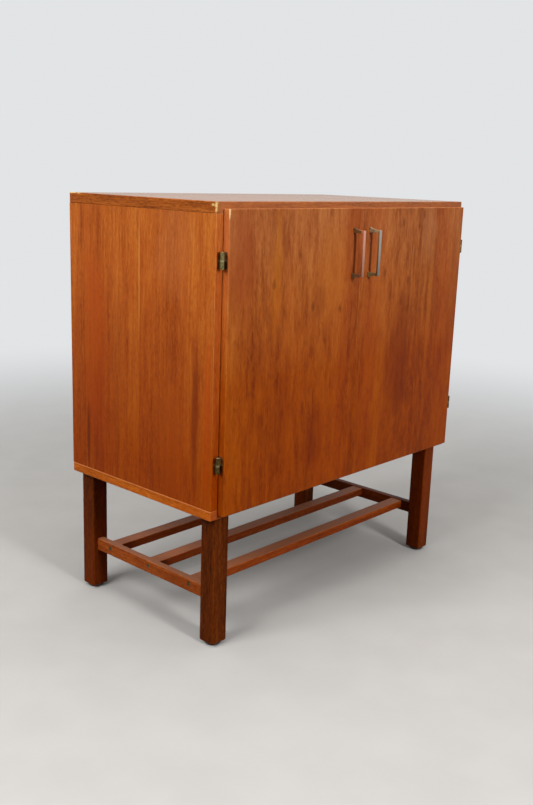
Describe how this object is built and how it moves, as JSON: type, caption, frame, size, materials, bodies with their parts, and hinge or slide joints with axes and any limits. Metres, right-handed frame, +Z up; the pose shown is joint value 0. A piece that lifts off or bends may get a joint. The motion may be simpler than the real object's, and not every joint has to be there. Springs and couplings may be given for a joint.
{
  "type": "record cabinet",
  "caption": "Free-standing record cabinet: hinged overlay doors with bow pulls, upright record bays under a shelf, square legs and a slatted rack beneath.",
  "frame": {"origin": "middle of the whole object's footprint, with handles, on the floor", "axes": "+X to the right as seen from the front, +Y from the doors to the back, +Z up"},
  "size_m": [0.67, 0.3914, 0.72],
  "materials": {
    "teak_top": "oiled teak veneer, satin",
    "teak_side": "oiled teak veneer, satin",
    "teak_front": "oiled teak veneer, satin",
    "teak_lipping": "solid teak lipping, satin",
    "teak_leg": "dark oiled solid wood, satin",
    "teak_rack": "oiled solid teak, satin",
    "plywood": "bare plywood, matt",
    "hinge_brass": "aged brass",
    "handle_brass": "worn polished brass",
    "screw_steel": "dulled steel",
    "catch_plastic": "moulded plastic",
    "glide_plastic": "moulded nylon"
  },
  "bodies": {
    "cabinet": {"top_panel": "teak_top", "top_lipping": "teak_lipping", "bottom_panel": "teak_side", "bottom_lipping": "teak_lipping", "left_side_panel": "teak_side", "left_side_lipping": "teak_lipping", "right_side_panel": "teak_side", "right_side_lipping": "teak_lipping", "back_panel": "plywood", "shelf": "teak_side", "shelf_lipping": "teak_lipping", "record_divider_1": "plywood", "record_divider_2": "plywood", "record_divider_3": "plywood", "magnetic_catch": "catch_plastic", "left_upper_hinge_carcase_leaf": "hinge_brass", "left_lower_hinge_carcase_leaf": "hinge_brass", "right_upper_hinge_carcase_leaf": "hinge_brass", "right_lower_hinge_carcase_leaf": "hinge_brass", "left_upper_hinge_pin": "hinge_brass", "left_lower_hinge_pin": "hinge_brass", "right_upper_hinge_pin": "hinge_brass", "right_lower_hinge_pin": "hinge_brass", "left_front_leg": "teak_leg", "left_back_leg": "teak_leg", "right_front_leg": "teak_leg", "right_back_leg": "teak_leg", "left_front_glide": "glide_plastic", "left_back_glide": "glide_plastic", "right_front_glide": "glide_plastic", "right_back_glide": "glide_plastic", "left_side_rail": "teak_rack", "right_side_rail": "teak_rack", "slat_1": "teak_rack", "slat_2": "teak_rack", "slat_3": "teak_rack", "slat_1_left_screw": "screw_steel", "slat_1_right_screw": "screw_steel", "slat_2_left_screw": "screw_steel", "slat_2_right_screw": "screw_steel", "slat_3_left_screw": "screw_steel", "slat_3_right_screw": "screw_steel"},
    "left_door": {"left_door_panel": "teak_front", "left_door_lipping": "teak_lipping", "left_handle": "handle_brass", "left_handle_screw_upper": "screw_steel", "left_handle_screw_lower": "screw_steel", "left_strike_plate": "screw_steel", "left_upper_hinge_door_leaf": "hinge_brass", "left_lower_hinge_door_leaf": "hinge_brass"},
    "right_door": {"right_door_panel": "teak_front", "right_door_lipping": "teak_lipping", "right_handle": "handle_brass", "right_handle_screw_upper": "screw_steel", "right_handle_screw_lower": "screw_steel", "right_strike_plate": "screw_steel", "right_upper_hinge_door_leaf": "hinge_brass", "right_lower_hinge_door_leaf": "hinge_brass"}
  },
  "joints": [
    {"name": "left_door_hinge", "type": "hinge", "parent": "cabinet", "child": "left_door", "pos_m": [-0.3288, -0.1671, 0.4778], "axis": [0, 0, -1], "range_deg": [0, 180]},
    {"name": "right_door_hinge", "type": "hinge", "parent": "cabinet", "child": "right_door", "pos_m": [0.3288, -0.1671, 0.4778], "axis": [0, 0, 1], "range_deg": [0, 180]}
  ]
}
